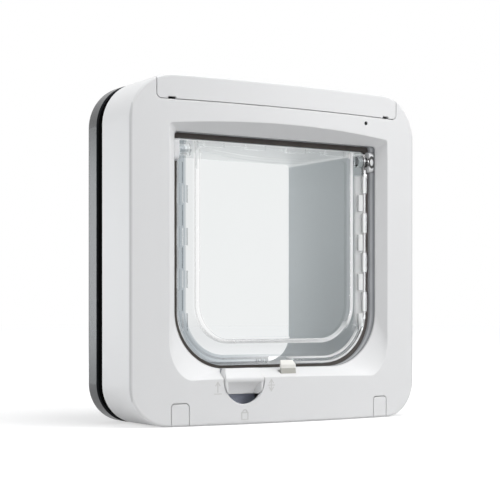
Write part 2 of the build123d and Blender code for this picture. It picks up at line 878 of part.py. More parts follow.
# Light guide from the lamp to the face
with BuildPart() as indicator_lens:
    rod(lamp_x, lamp_z, lamp_radius, lamp_top + coil_gap, face_ahead(lamp_x) - coil_gap)
indicator_lens.part.label = "indicator_lens"
export_step(indicator_lens.part, "parts/indicator_lens.step")

# Latch nose that stands in the sill, with the peg that holds it on its slider
crank_reach = latch_travel / (2 * sin(radians(crank_swing / 2)))
pin_back = crank_reach * cos(radians(crank_swing / 2))
pin_drop = crank_reach * sin(radians(crank_swing / 2))
pin_ahead = crank_ahead - pin_back
pin_z = crank_z - pin_drop
latch_right = latch_x + latch_half
slot_half = crank_pin_radius + crank_pin_gap
with BuildPart() as latch_catch:
    with BuildSketch(Plane.XY.offset(latch_step)):
        Polygon(
            (latch_x - latch_half, -latch_front),
            (latch_right, -latch_front),
            (latch_right - latch_draft, -latch_back),
            (latch_x - latch_half + latch_draft, -latch_back),
            align=None,
        )
    extrude(amount=latch_back_top - latch_step)
    with BuildSketch(Plane.YZ.offset(latch_x - latch_half)):
        Polygon(
            (-latch_front, latch_step),
            (-latch_back, latch_step),
            (-latch_back, latch_back_top),
            (-latch_front, latch_front_top),
            align=None,
        )
    extrude(amount=2 * latch_half, mode=Mode.INTERSECT)
    fillet(latch_catch.edges().group_by(Axis.Z)[-1], slide_gap)
    peg_y = -(latch_back + latch_front) / 2
    with Locations((latch_x, peg_y, latch_step - peg_length / 2)):
        Cylinder(peg_radius, peg_length)
latch_catch.part.label = "latch_catch"
export_step(latch_catch.part, "parts/latch_catch.step")

# Latch slider under the nose: a slot in its side takes the crank pin
with BuildPart() as latch_slider:
    block(latch_x - latch_half, latch_right, latch_step_back, latch_front, latch_foot, latch_step)
    with Locations((latch_x, peg_y, latch_step - peg_length / 2)):
        Cylinder(peg_radius + running_gap, peg_length, mode=Mode.SUBTRACT)
    block(
        latch_right - crank_pin_length - crank_pin_gap,
        latch_right,
        crank_ahead - crank_reach - slot_half,
        pin_ahead + slot_half,
        pin_z - slot_half,
        pin_z + slot_half,
        mode=Mode.SUBTRACT,
    )
latch_slider.part.label = "latch_slider"
export_step(latch_slider.part, "parts/latch_slider.step")

# Crank on the motor shaft
crank_left = latch_right + crank_gap
crank_right = crank_left + crank_thick
motor_left = crank_right + motor_gap
motor_right = motor_left + motor_length
with BuildPart() as latch_crank:
    cross_rod(crank_left, crank_right, crank_ahead, crank_z, crank_radius)
    cross_rod(latch_right - crank_pin_length, crank_right, pin_ahead, pin_z, crank_pin_radius)
    hub_radius = motor_shaft_radius + running_gap
    cross_rod(crank_left, crank_right, crank_ahead, crank_z, hub_radius, mode=Mode.SUBTRACT)
latch_crank.part.label = "latch_crank"
export_step(latch_crank.part, "parts/latch_crank.step")

# Small round motor: its shaft carries the crank, and a boss closes its far end
with BuildPart() as latch_motor:
    cross_rod(motor_left, motor_right, crank_ahead, crank_z, motor_radius)
    cross_rod(crank_left, motor_left, crank_ahead, crank_z, motor_shaft_radius)
    cross_rod(motor_right, motor_right + crank_thick, crank_ahead, crank_z, 2 * motor_shaft_radius)
latch_motor.part.label = "latch_motor"
export_step(latch_motor.part, "parts/latch_motor.step")

# Bracket on the housing's floor: a channel for the slider and a saddle for the motor
floor_z = wall - half_height
channel_left = latch_x - latch_half - slide_gap
channel_back = latch_step_back - slide_gap
channel_front = latch_front + slide_gap
with BuildPart() as latch_guide:
    saddle_right = motor_right - saddle_inset
    guide_left = channel_left - guide_wall
    guide_back = channel_back - guide_wall
    guide_front = channel_front + guide_lip
    block(guide_left, saddle_right, guide_back, crank_ahead + motor_radius, floor_z, floor_z + guide_wall)
    block(guide_left, channel_left, guide_back, guide_front, floor_z, guide_top)
    block(guide_left, latch_right, guide_back, channel_back, floor_z, latch_step)
    block(guide_left, latch_right, channel_front, guide_front, floor_z, guide_top)
    block(
        motor_left + saddle_inset,
        saddle_right,
        crank_ahead - motor_radius - cradle_side,
        crank_ahead + motor_radius + cradle_side / 2,
        floor_z,
        crank_z - motor_radius / 3,
    )
    cross_rod(motor_left, motor_right, crank_ahead, crank_z, motor_radius + running_gap, mode=Mode.SUBTRACT)
latch_guide.part.label = "latch_guide"
export_step(latch_guide.part, "parts/latch_guide.step")

# White ridged knob: it stands a little above the sill, and a scoop below the ridge takes a finger
knob_face = face_ahead(knob_x)
with BuildPart() as lock_knob:
    with BuildSketch(Plane.YZ.offset(knob_x - knob_radius)):
        with BuildLine():
            knob_low = knob_z - knob_scoop
            chin = (-knob_face, knob_z - knob_chin)
            slope = Line((-knob_crest, knob_z + knob_top), (-knob_face, knob_z + knob_brow))
            ridge_z = knob_z + (knob_brow - knob_chin) / 2
            ridge = ThreePointArc(slope @ 1, (-knob_face - knob_proud, ridge_z), chin)
            foot = Polyline((-knob_face, knob_low), (-knob_foot, knob_low), (-knob_foot, knob_z + knob_top))
            Line(ridge @ 1, foot @ 0)
            Line(foot @ 1, slope @ 0)
        make_face()
    extrude(amount=2 * knob_radius)
    rod(knob_x, knob_z, knob_radius, knob_foot, cut_ahead, mode=Mode.INTERSECT)
    with BuildPart(mode=Mode.SUBTRACT):
        with BuildSketch(Plane.YZ.offset(knob_x - knob_radius)):
            with BuildLine():
                middle_y = -(knob_face + knob_scoop_ahead) / 2 + knob_scoop_sag
                scoop = ThreePointArc(
                    chin,
                    (middle_y, knob_z - (knob_chin + knob_scoop) / 2),
                    (-knob_scoop_ahead, knob_low),
                )
                Polyline(scoop @ 1, (-cut_ahead, knob_low), (-cut_ahead, knob_z - knob_chin), scoop @ 0)
            make_face()
        extrude(amount=2 * knob_radius)
        with BuildSketch(Plane.XY.offset(knob_z - knob_radius)):
            Polygon(
                (knob_x - scoop_half, -cut_ahead),
                (knob_x + scoop_half, -cut_ahead),
                (knob_x + scoop_deep_half, -knob_scoop_ahead),
                (knob_x - scoop_deep_half, -knob_scoop_ahead),
                align=None,
            )
        extrude(amount=2 * knob_radius, mode=Mode.INTERSECT)
lock_knob.part.label = "lock_knob"
export_step(lock_knob.part, "parts/lock_knob.step")

# Grey disc behind the knob, with a flat above and below where the flap passes it
with BuildPart() as lock_disc:
    rod(knob_x, knob_z, knob_radius, disc_back, knob_foot)
    block(
        knob_x - knob_radius,
        knob_x + knob_radius,
        disc_back,
        knob_foot,
        knob_z + disc_flat,
        knob_z + knob_radius,
        mode=Mode.SUBTRACT,
    )
    block(
        knob_x - knob_radius,
        knob_x + knob_radius,
        disc_back,
        knob_foot,
        knob_z - knob_radius,
        knob_z - knob_scoop,
        mode=Mode.SUBTRACT,
    )
    rod(knob_x, knob_z, spindle_radius + running_gap, disc_back, knob_foot, mode=Mode.SUBTRACT)
lock_disc.part.label = "lock_disc"
export_step(lock_disc.part, "parts/lock_disc.step")

# Steel shaft through the grey ring's lug, from the disc to the cam
with BuildPart() as lock_spindle:
    rod(knob_x, knob_z, spindle_radius, cam_back, knob_foot)
lock_spindle.part.label = "lock_spindle"
export_step(lock_spindle.part, "parts/lock_spindle.step")

# Cam behind the flap: two flats let the flap pass, and its round sides stop it
with BuildPart() as lock_cam:
    rod(knob_x, knob_z, knob_radius, cam_back, cam_front)
    block(
        knob_x - knob_radius,
        knob_x + knob_radius,
        cam_back,
        cam_front,
        knob_z + cam_flat,
        knob_z + knob_radius,
        mode=Mode.SUBTRACT,
    )
    block(
        knob_x + cam_flat,
        knob_x + knob_radius,
        cam_back,
        cam_front,
        knob_z - knob_radius,
        knob_z + knob_radius,
        mode=Mode.SUBTRACT,
    )
    rod(knob_x, knob_z, spindle_radius + running_gap, cam_back, cam_front, mode=Mode.SUBTRACT)
lock_cam.part.label = "lock_cam"
export_step(lock_cam.part, "parts/lock_cam.step")

# Spring strip under the shaft, on the back of the grey ring's lug
detent_top = knob_z - spindle_radius - slide_gap
with BuildPart() as lock_detent:
    block(
        knob_x - detent_half,
        knob_x + detent_half,
        lug_back - wall,
        lug_back,
        detent_top - detent_thick,
        detent_top,
    )
lock_detent.part.label = "lock_detent"
export_step(lock_detent.part, "parts/lock_detent.step")

# Long screws from the housing's posts into the outdoor frame
with BuildPart() as fixing_screws:
    for x, z in screw_places:
        rod(x, z, screw_radius, -frame_gap - screw_into_frame, screw_seat)
        rod(x, z, screw_head_radius, screw_seat, screw_seat + screw_head)
fixing_screws.part.label = "fixing_screws"
export_step(fixing_screws.part, "parts/fixing_screws.step")

# Short screws that hold the back cover, with their heads below its face
with BuildPart() as cover_screws:
    head_seat = lid_screw_head + slide_gap
    for x, z in lid_screw_places:
        rod(x, z, lid_screw_radius, head_seat, lid_screw_length + wall / 4)
        rod(x, z, lid_screw_head_radius, slide_gap, head_seat)
cover_screws.part.label = "cover_screws"
export_step(cover_screws.part, "parts/cover_screws.step")
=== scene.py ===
import math

import bmesh
import bpy
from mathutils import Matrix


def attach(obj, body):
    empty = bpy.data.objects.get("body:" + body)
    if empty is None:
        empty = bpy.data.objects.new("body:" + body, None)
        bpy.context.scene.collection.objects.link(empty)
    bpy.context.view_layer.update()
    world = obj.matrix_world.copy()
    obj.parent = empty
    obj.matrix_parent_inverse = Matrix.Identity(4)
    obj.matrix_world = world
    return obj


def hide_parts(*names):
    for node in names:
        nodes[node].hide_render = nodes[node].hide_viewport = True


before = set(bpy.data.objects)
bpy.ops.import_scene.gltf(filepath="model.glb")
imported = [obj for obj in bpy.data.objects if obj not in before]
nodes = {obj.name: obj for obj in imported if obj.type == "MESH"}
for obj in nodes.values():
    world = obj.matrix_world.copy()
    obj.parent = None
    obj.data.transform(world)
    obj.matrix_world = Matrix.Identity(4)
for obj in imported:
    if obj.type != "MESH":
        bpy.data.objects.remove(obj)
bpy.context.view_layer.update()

# Outdoor frame: a glossy dark ring that clamps the door from outside.
# It is injection moulded, and polished on its rounded edge; four long screws pull it in.


class Tone:
    """A socket in a node tree: sums on it add Math nodes, and node() adds any other node."""

    def __init__(self, tree, socket=None):
        self.tree = tree
        self.socket = socket

    def node(self, kind, settings=None, sockets=None, out=0):
        made = self.tree.nodes.new(kind)
        for name, setting in (settings or {}).items():
            setattr(made, name, setting)
        for name, given in (sockets or {}).items():
            for one in given if isinstance(given, list) else [given]:
                if isinstance(one, Tone):
                    self.tree.links.new(one.socket, made.inputs[name])
                else:
                    made.inputs[name].default_value = one
        return Tone(self.tree, made.outputs[out])

    def sum(self, operation, first, second=0.0):
        return self.node("ShaderNodeMath", {"operation": operation}, {0: first, 1: second})

    def __add__(self, other):
        return self.sum("ADD", self, other)

    __radd__ = __add__

    def __sub__(self, other):
        return self.sum("SUBTRACT", self, other)

    def __rsub__(self, other):
        return self.sum("SUBTRACT", other, self)

    def __mul__(self, other):
        return self.sum("MULTIPLY", self, other)

    __rmul__ = __mul__

    def __abs__(self):
        return self.sum("ABSOLUTE", self)

    def root(self):
        return self.sum("SQRT", self)

    def larger(self, other):
        return self.sum("MAXIMUM", self, other)

    def mix(self, first, second):
        """A colour between two, by this value."""
        return self.node(
            "ShaderNodeMix", {"data_type": "RGBA"}, {0: self, 6: first, 7: second}, out=2
        )

    def feed(self, shader, name):
        self.tree.links.new(self.socket, shader.inputs[name])


class Finish:
    """A material on Object coordinates, with the few patterns that these mouldings and metals need."""

    def __init__(self, name, **constants):
        self.material = bpy.data.materials.new(name)
        self.material.use_nodes = True
        tree = self.material.node_tree
        self.shader = tree.nodes["Principled BSDF"]
        for socket, value in constants.items():
            self.shader.inputs[socket.replace("_", " ")].default_value = value
        self.pen = Tone(tree)
        self.place = self.pen.node("ShaderNodeTexCoord", out="Object")

    def cloud(self, scale, detail=3.0, stretch=(1, 1, 1)):
        spot = self.pen.node("ShaderNodeMapping", None, {"Vector": self.place, "Scale": stretch})
        return self.pen.node(
            "ShaderNodeTexNoise", None, {"Vector": spot, "Scale": scale, "Detail": detail}
        )

    def along(self, axis):
        return self.pen.node("ShaderNodeSeparateXYZ", None, {"Vector": self.place}, out=axis)

    def facing(self, axis):
        """How squarely the surface faces along an axis, from -1 to 1."""
        normal = self.pen.node("ShaderNodeTexCoord", out="Normal")
        return self.pen.node("ShaderNodeSeparateXYZ", None, {"Vector": normal}, out=axis)

    def band(self, value, low, high):
        """0 below low and 1 above high, smooth between."""
        return self.pen.node(
            "ShaderNodeMapRange",
            {"interpolation_type": "SMOOTHSTEP"},
            {"Value": value, "From Min": low, "From Max": high},
        )

    def stripe(self, value, low, high, soft):
        """1 from low to high, with so soft an edge on either side."""
        return self.band(value, low - soft, low) * (1 - self.band(value, high, high + soft))

    def colour(self, tone):
        tone.feed(self.shader, "Base Color")

    def rough(self, tone):
        tone.feed(self.shader, "Roughness")

    def relief(self, height, strength, depth, edge=0.0):
        """A fine bump, on edges that read as rounded by so many metres."""
        sockets = {"Height": height, "Strength": strength, "Distance": depth}
        if edge:
            sockets["Normal"] = self.pen.node("ShaderNodeBevel", {"samples": 6}, {"Radius": edge})
        self.pen.node("ShaderNodeBump", None, sockets).feed(self.shader, "Normal")


def dress(finish, *names):
    for name in names:
        slots = nodes[name].data.materials
        slots.clear()
        slots.append(finish.material)


frame_gloss = Finish("dark_gloss", Specular_IOR_Level=0.6)
haze = frame_gloss.cloud(9.0)
frame_gloss.colour(haze.mix((0.020, 0.022, 0.025, 1), (0.030, 0.032, 0.036, 1)))
frame_gloss.rough(0.24 + 0.06 * haze)
frame_gloss.relief(frame_gloss.cloud(60.0, detail=1.0), strength=0.02, depth=0.0002)
dress(frame_gloss, "rear_frame")

# Weather seal: a ring of black closed-cell foam stuck to the outdoor frame.
# It is die cut from sheet, so its faces show cut cells.
foam = Finish("black_foam", Roughness=0.95, Specular_IOR_Level=0.0)
cells = foam.pen.node("ShaderNodeTexVoronoi", None, {"Vector": foam.place, "Scale": 1300.0})
foam.colour(cells.mix((0.002, 0.002, 0.002, 1), (0.006, 0.006, 0.006, 1)))
foam.relief(cells, strength=0.6, depth=0.0005)
dress(foam, "weather_seal")

# Passage lining: a pale moulded sleeve that runs from the housing through the door.
# Its ceiling is painted whiter than its walls as painted light, and its floor is scuffed lengthwise by
# passing paws.
lining = Finish("lining_plastic", Specular_IOR_Level=0.4)
lit_ceiling_z = (0.0640, 0.0675)
floor_z = (-0.070, -0.045)
tide = lining.cloud(7.0)
wall_grey = tide.mix((0.50, 0.53, 0.545, 1), (0.55, 0.58, 0.595, 1))
downward = lining.band(-1 * lining.facing("Z"), 0.2, 0.6)
# Painted light: the downward-facing ceiling is painted near white.
ceiling_painted_light = lining.band(lining.along("Z"), *lit_ceiling_z) * downward
pale = ceiling_painted_light.mix(wall_grey, (0.93, 0.935, 0.93, 1))
floor_side = 1 - lining.band(lining.along("Z"), *floor_z)
streaks = lining.band(lining.cloud(260.0, detail=2.0, stretch=(1, 0.06, 1)), 0.56, 0.70)
scuffs = floor_side * streaks * 0.35
lining.colour(scuffs.mix(pale, (0.48, 0.49, 0.49, 1)))
lining.rough(0.38 + 0.10 * tide + 0.25 * scuffs)
lining.relief(lining.cloud(2600.0, detail=2.0), strength=0.10, depth=0.0001, edge=0.0006)
dress(lining, "tunnel_sleeve")

# Housing, back plate and covers: satin white mouldings with a fine spark-eroded grain.
# The shell is one piece, crowned in front, with a parting line round its sides, painted as a thin dark
# line of painted shade.
# Lid and caps clip into it, and the back plate is screwed on.
white = Finish("white_plastic", Specular_IOR_Level=0.45)
parting_ahead = (0.0368, 0.0374)
parting_soft = 0.0006
outer_face = (0.1030, 0.1034)
drift = white.cloud(5.0)
grain = white.cloud(3200.0, detail=2.0)
body_white = drift.mix((0.80, 0.805, 0.81, 1), (0.83, 0.832, 0.835, 1))
# Painted shade: a thin darker line round the sides stands in for the shadow in the parting line's groove.
groove_shade_stripe = white.stripe(-1 * white.along("Y"), *parting_ahead, parting_soft)
outer_x = white.band(abs(white.along("X")), *outer_face)
outer_z = white.band(abs(white.along("Z")), *outer_face)
groove_shade = groove_shade_stripe * outer_x.larger(outer_z) * 0.30
white.colour(groove_shade.mix(body_white, (0.25, 0.25, 0.26, 1)))
white.rough(0.36 + 0.10 * grain)
white.relief(grain, strength=0.08, depth=0.0001, edge=0.0009)
dress(white, "front_housing", "back_cover", "battery_cover", "screw_cover_left", "screw_cover_right")

# Marks beside the lock: plain signs for one way, both ways and locked, one at each of its places.
# They are thin raised lines, printed pale grey, on the crowned face.
print_grey = Finish("mark_grey", Roughness=0.5)
speck = print_grey.cloud(1500.0, detail=2.0)
print_grey.colour(speck.mix((0.66, 0.66, 0.65, 1), (0.71, 0.71, 0.70, 1)))
print_grey.relief(speck, strength=0.1, depth=0.0001)

crest_ahead = 0.0466
crown_radius = 0.61032
line_half = 0.00032
line_lift = 0.00008
bar_half = 0.0022
tip_z = 0.0034
arrow_head = [(-0.0014, 0.0014), (0.0, tip_z), (0.0014, 0.0014)]
one_way = [
    [(0.0, -0.0024), (0.0, tip_z)],
    arrow_head,
    [(-bar_half, -0.0036), (bar_half, -0.0036)],
]
both_ways = [
    [(0.0, -tip_z), (0.0, tip_z)],
    arrow_head,
    [(-x, -z) for x, z in arrow_head],
    [(-bar_half, 0.0), (bar_half, 0.0)],
]
case_half = 0.0021
case_low = -0.0032
case_top = 0.0009
shackle_half = 0.0015
shackle_rise = 0.0019
shackle_turns = [math.pi * k / 8 for k in range(9)]
padlock = [
    [
        (-case_half, case_low),
        (case_half, case_low),
        (case_half, case_top),
        (-case_half, case_top),
        (-case_half, case_low),
    ],
    [(shackle_half * math.cos(a), case_top + shackle_rise * math.sin(a)) for a in shackle_turns],
]
signs = {
    (-0.0495, -0.0825): one_way,
    (-0.0125, -0.0816): both_ways,
    (-0.0312, -0.0988): padlock,
}
lines = bmesh.new()
for (sign_x, sign_z), strokes in signs.items():
    for stroke in strokes:
        for (ax, az), (bx, bz) in zip(stroke, stroke[1:]):
            length = math.hypot(bx - ax, bz - az)
            along_x = (bx - ax) / length * line_half
            along_z = (bz - az) / length * line_half
            corners = []
            for end_x, end_z, way in ((ax, az, -1), (bx, bz, 1)):
                for side in (-1, 1):
                    x = sign_x + end_x + way * along_x - side * way * along_z
                    z = sign_z + end_z + way * along_z + side * way * along_x
                    ahead = crest_ahead - crown_radius + math.sqrt(crown_radius**2 - x**2)
                    corners.append((x, z, ahead))
            front = [lines.verts.new((x, -ahead - line_lift, z)) for x, z, ahead in corners]
            back = [lines.verts.new((x, -ahead + line_lift, z)) for x, z, ahead in corners]
            lines.faces.new(front)
            lines.faces.new(back[::-1])
            for k in range(4):
                lines.faces.new((front[k], back[k], back[(k + 1) % 4], front[(k + 1) % 4]))
bmesh.ops.recalc_face_normals(lines, faces=lines.faces)
marks_mesh = bpy.data.meshes.new("lock_marks")
lines.to_mesh(marks_mesh)
lines.free()
marks_mesh.materials.append(print_grey.material)
marks = bpy.data.objects.new("lock_marks", marks_mesh)
bpy.context.scene.collection.objects.link(marks)
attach(marks, "housing")

# Grey ring around the flap, and the reader's coil wound on it.
# The ring is a matt moulding, with a lighter band of painted highlight, a darker band of painted shade,
# and painted light that makes the lug at its foot pale.
# The coil is enamelled copper wire laid in a groove.
ring = Finish("ring_plastic", Specular_IOR_Level=0.35)
highlight_ahead = (0.0330, 0.0339)
shade_ahead = (0.0352, 0.0361)
lug_z = (-0.0870, -0.0855)
lug_y = (-0.0330, -0.0320)
mottle = ring.cloud(30.0)
plain_grey = mottle.mix((0.36, 0.37, 0.39, 1), (0.42, 0.43, 0.45, 1))
ring_ahead = -1 * ring.along("Y")
# Painted highlight and painted shade: a lighter band and a darker band across the ring's depth.
highlight_band = ring.stripe(ring_ahead, *highlight_ahead, 0.0004)
shade_band = ring.stripe(ring_ahead, *shade_ahead, 0.0005)
grey_with_highlight = highlight_band.mix(plain_grey, (0.58, 0.59, 0.61, 1))
grey_with_light_bands = shade_band.mix(grey_with_highlight, (0.25, 0.26, 0.28, 1))
# Painted light: the lug's low front is painted pale blue-grey where it sits deep in shade.
lug_low = 1 - ring.band(ring.along("Z"), *lug_z)
lug_front = 1 - ring.band(ring.along("Y"), *lug_y)
lug_painted_light = lug_low * lug_front
ring.colour(lug_painted_light.mix(grey_with_light_bands, (0.76, 0.81, 0.96, 1)))
ring.rough(0.40 + 0.15 * mottle)
ring.relief(ring.cloud(1800.0, detail=2.0), strength=0.15, depth=0.0001, edge=0.0004)
dress(ring, "antenna_former")

copper = Finish("coil_copper", Metallic=1.0)
turns = copper.pen.node(
    "ShaderNodeTexWave",
    {"bands_direction": "Y", "wave_profile": "SIN"},
    {"Vector": copper.place, "Scale": 520.0, "Distortion": 0.4},
)
copper.colour(turns.mix((0.30, 0.10, 0.03, 1), (0.72, 0.33, 0.14, 1)))
copper.rough(0.28 + 0.15 * copper.cloud(90.0))
copper.relief(turns, strength=0.5, depth=0.0003)
dress(copper, "antenna_coil")

# Draught strip: a soft dark brown strip stuck inside the ring, close to the flap's edge.
# It is cut from pile fabric, so it takes no shine; its right side and top are painted paler as painted
# light, its left side darker as painted shade.
strip = Finish("strip_pile", Roughness=1.0, Specular_IOR_Level=0.05)
pile = strip.cloud(1600.0, stretch=(1, 0.2, 1))
# Painted light and shade: the pile is darker on the left, paler on the right and paler along the top.
shaded_pile = pile.mix((0.075, 0.068, 0.062, 1), (0.115, 0.105, 0.096, 1))
lit_pile = pile.mix((0.10, 0.090, 0.084, 1), (0.15, 0.138, 0.13, 1))
upper_pile_lit = pile.mix((0.085, 0.076, 0.070, 1), (0.13, 0.118, 0.11, 1))
pile_lit_right = strip.band(strip.along("X"), -0.010, 0.070).mix(shaded_pile, lit_pile)
strip.colour(strip.band(strip.along("Z"), 0.060, 0.066).mix(pile_lit_right, upper_pile_lit))
strip.relief(pile, strength=0.5, depth=0.0004)
dress(strip, "draught_strip")

# Battery tray and its four cells, under the lid along the top.
# The tray is a grey moulding, and so are the latch's guide and crank and the learning button.
# Each cell wears a plain printed jacket with a bare steel end.
tray_grey = Finish("tray_plastic", Roughness=0.5)
dust = tray_grey.cloud(40.0)
tray_grey.colour(dust.mix((0.42, 0.43, 0.44, 1), (0.48, 0.49, 0.50, 1)))
tray_grey.relief(tray_grey.cloud(2200.0, detail=2.0), strength=0.12, depth=0.0001, edge=0.0004)
dress(tray_grey, "battery_tray", "latch_guide", "latch_crank", "memory_button")

jacket = Finish("cell_jacket")
jacket_end = (0.0502, 0.0504)
printed_ring = (0.0392, 0.0420)
reach = abs(jacket.along("X"))
bare = jacket.band(reach, *jacket_end)
printed = jacket.stripe(reach, *printed_ring, 0.0002)
sheath = printed.mix((0.03, 0.05, 0.10, 1), (0.55, 0.56, 0.58, 1))
jacket.colour(bare.mix(sheath, (0.65, 0.65, 0.64, 1)))
bare.feed(jacket.shader, "Metallic")
jacket.rough(0.30 + 0.12 * jacket.cloud(60.0))
dress(jacket, "battery_cells")

# Battery contacts: coned springs on plates at the tray's ends, and flat plates in the middle.
# Springs are wound from plated wire and plates are cut from plated strip.
# Both slide into the tray's walls.
plated = Finish("plated_strip", Metallic=1.0)
brushed = plated.cloud(900.0, stretch=(1, 1, 0.05))
plated.colour(brushed.mix((0.60, 0.60, 0.58, 1), (0.74, 0.74, 0.72, 1)))
plated.rough(0.25 + 0.2 * brushed)


def new_tree(name, sizes):
    """A Geometry Nodes tree with a point cloud's mesh and so many sizes as its inputs."""
    tree = bpy.data.node_groups.new(name, "GeometryNodeTree")
    tree.interface.new_socket("Geometry", in_out="OUTPUT", socket_type="NodeSocketGeometry")
    tree.interface.new_socket("Geometry", in_out="INPUT", socket_type="NodeSocketGeometry")
    for size in sizes:
        tree.interface.new_socket(size, in_out="INPUT", socket_type="NodeSocketFloat")
    given = tree.nodes.new("NodeGroupInput")
    return Tone(tree), {socket.name: Tone(tree, socket) for socket in given.outputs if socket.name}


def end_tree(pen, shape, points, turn, finish):
    """One shape on every point, realised and in its finish."""
    copies = pen.node(
        "GeometryNodeInstanceOnPoints", None, {"Points": points, "Instance": shape, "Rotation": turn}
    )
    real = pen.node("GeometryNodeRealizeInstances", None, {"Geometry": copies})
    done = pen.node("GeometryNodeSetMaterial", None, {"Geometry": real, "Material": finish.material})
    done.feed(pen.tree.nodes.new("NodeGroupOutput"), "Geometry")


def grow(name, tree, places, sizes):
    """A plain mesh object from a tree, with its points at the places."""
    seed = bpy.data.meshes.new(name)
    seed.from_pydata(places, [], [])
    piece = bpy.data.objects.new(name, seed)
    bpy.context.scene.collection.objects.link(piece)
    grower = piece.modifiers.new("grow", "NODES")
    grower.node_group = tree
    for item in tree.interface.items_tree:
        if item.in_out == "INPUT" and item.name in sizes:
            grower[item.identifier] = sizes[item.name]
    graph = bpy.context.evaluated_depsgraph_get()
    mesh = bpy.data.meshes.new_from_object(piece.evaluated_get(graph))
    piece.modifiers.remove(grower)
    piece.data = mesh
    return piece


cell_ahead = (0.017, 0.032)
cell_z = 0.09305
spring_x = 0.05599
plate_x = 0.00095
plate_side = 0.009
plate_thick = 0.0004
pen, size = new_tree("coned_spring", ["Base Radius", "Tip Radius", "Height", "Wire", "Turns", "Plate"])
coil = pen.node(
    "GeometryNodeCurveSpiral",
    None,
    {
        "Resolution": 20,
        "Rotations": size["Turns"],
        "Start Radius": size["Base Radius"],
        "End Radius": size["Tip Radius"],
        "Height": size["Height"],
    },
)
wire = pen.node("GeometryNodeCurvePrimitiveCircle", None, {"Resolution": 8, "Radius": size["Wire"]})
winding = pen.node(
    "GeometryNodeCurveToMesh", None, {"Curve": coil, "Profile Curve": wire, "Fill Caps": True}
)
plate_size = pen.node(
    "ShaderNodeCombineXYZ", None, {"X": size["Plate"], "Y": size["Plate"], "Z": size["Wire"]}
)
plate = pen.node("GeometryNodeMeshCube", None, {"Size": plate_size})
shape = pen.node("GeometryNodeJoinGeometry", None, {"Geometry": [winding, plate]})
spot = pen.node("GeometryNodeInputPosition")
end_side = pen.sum("SIGN", pen.node("ShaderNodeSeparateXYZ", None, {"Vector": spot}))
turn = pen.node("ShaderNodeCombineXYZ", None, {"Y": end_side * (-math.pi / 2)})
end_tree(pen, shape, size["Geometry"], turn, plated)
springs = grow(
    "battery_springs",
    pen.tree,
    [(x, -ahead, cell_z) for x in (-spring_x, spring_x) for ahead in cell_ahead],
    {
        "Base Radius": 0.0036,
        "Tip Radius": 0.0023,
        "Height": 0.0039,
        "Wire": 0.0003,
        "Turns": 4.0,
        "Plate": plate_side,
    },
)
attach(springs, "housing")
tabs = bmesh.new()
for x in (-plate_x, plate_x):
    for ahead in cell_ahead:
        made = bmesh.ops.create_cube(tabs, size=1.0)["verts"]
        bmesh.ops.scale(tabs, vec=(plate_thick, plate_side, plate_side), verts=made)
        bmesh.ops.translate(tabs, vec=(x, -ahead, cell_z), verts=made)
bmesh.ops.bevel(tabs, geom=tabs.edges[:], offset=0.0001, segments=2, affect="EDGES")
tabs_mesh = bpy.data.meshes.new("battery_plates")
tabs.to_mesh(tabs_mesh)
tabs.free()
tabs_mesh.materials.append(plated.material)
plates = bpy.data.objects.new("battery_plates", tabs_mesh)
bpy.context.scene.collection.objects.link(plates)
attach(plates, "housing")
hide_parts("battery_contacts")

# Circuit board and light guide: green laminate with its black parts, behind the right of the face.
# A smoked rod carries the lamp's light to a pinhole above the recess.
laminate = Finish("board_laminate", Roughness=0.35)
parts_foot = (-0.0300, -0.0297)
tracks = laminate.pen.node(
    "ShaderNodeTexBrick",
    {"offset": 0.5},
    {"Vector": laminate.place, "Scale": 180.0, "Mortar Size": 0.03},
    out="Fac",
)
mask_green = tracks.mix((0.02, 0.13, 0.05, 1), (0.05, 0.24, 0.10, 1))
parts_on = 1 - laminate.band(laminate.along("Y"), *parts_foot)
laminate.colour(parts_on.mix(mask_green, (0.015, 0.015, 0.016, 1)))
dress(laminate, "circuit_board")

guide = Finish("light_guide", Specular_IOR_Level=0.15)
smoke = guide.cloud(300.0)
guide.colour(smoke.mix((0.004, 0.004, 0.005, 1), (0.008, 0.008, 0.009, 1)))
guide.rough(0.2 + 0.1 * smoke)
dress(guide, "indicator_lens")

# Latch: an off-white nose of bearing plastic that stands in the sill, pegged on its slider.
# A cranked motor lifts it before the flap's lower edge. Its top is painted pale as painted light, and its
# other faces darker as painted shade.
latch_white = Finish("latch_plastic", Specular_IOR_Level=0.4)
nose_top = (-0.0719, -0.0713)
worn = latch_white.cloud(120.0)
# Painted light and shade: one white, pale on the nose's top and much darker on its other faces.
painted_lit_top = worn.mix((0.80, 0.79, 0.75, 1), (0.85, 0.84, 0.80, 1))
painted_shade_faces = worn.mix((0.47, 0.46, 0.42, 1), (0.52, 0.51, 0.47, 1))
lit_nose_mask = latch_white.band(latch_white.along("Z"), *nose_top)
latch_white.colour(lit_nose_mask.mix(painted_shade_faces, painted_lit_top))
latch_white.rough(0.40 + 0.12 * worn)
latch_white.relief(latch_white.cloud(2600.0, detail=2.0), strength=0.08, depth=0.0001, edge=0.0005)
dress(latch_white, "latch_catch", "latch_slider")
dress(plated, "latch_motor")

# Lock: a white ridged knob on a blue-grey disc and cam, joined by a steel shaft through the ring.
# The knob is moulded in the housing's white and snaps on the disc.
# A leaf spring holds it in its places.
dress(white, "lock_knob")
disc_grey = Finish("disc_plastic", Specular_IOR_Level=0.5)
swirl = disc_grey.cloud(60.0)
disc_grey.colour(swirl.mix((0.24, 0.25, 0.31, 1), (0.30, 0.31, 0.38, 1)))
disc_grey.rough(0.22 + 0.12 * swirl)
disc_grey.relief(disc_grey.cloud(1500.0, detail=2.0), strength=0.08, depth=0.0001, edge=0.0004)
dress(disc_grey, "lock_disc", "lock_cam")
dress(plated, "lock_spindle", "lock_detent")

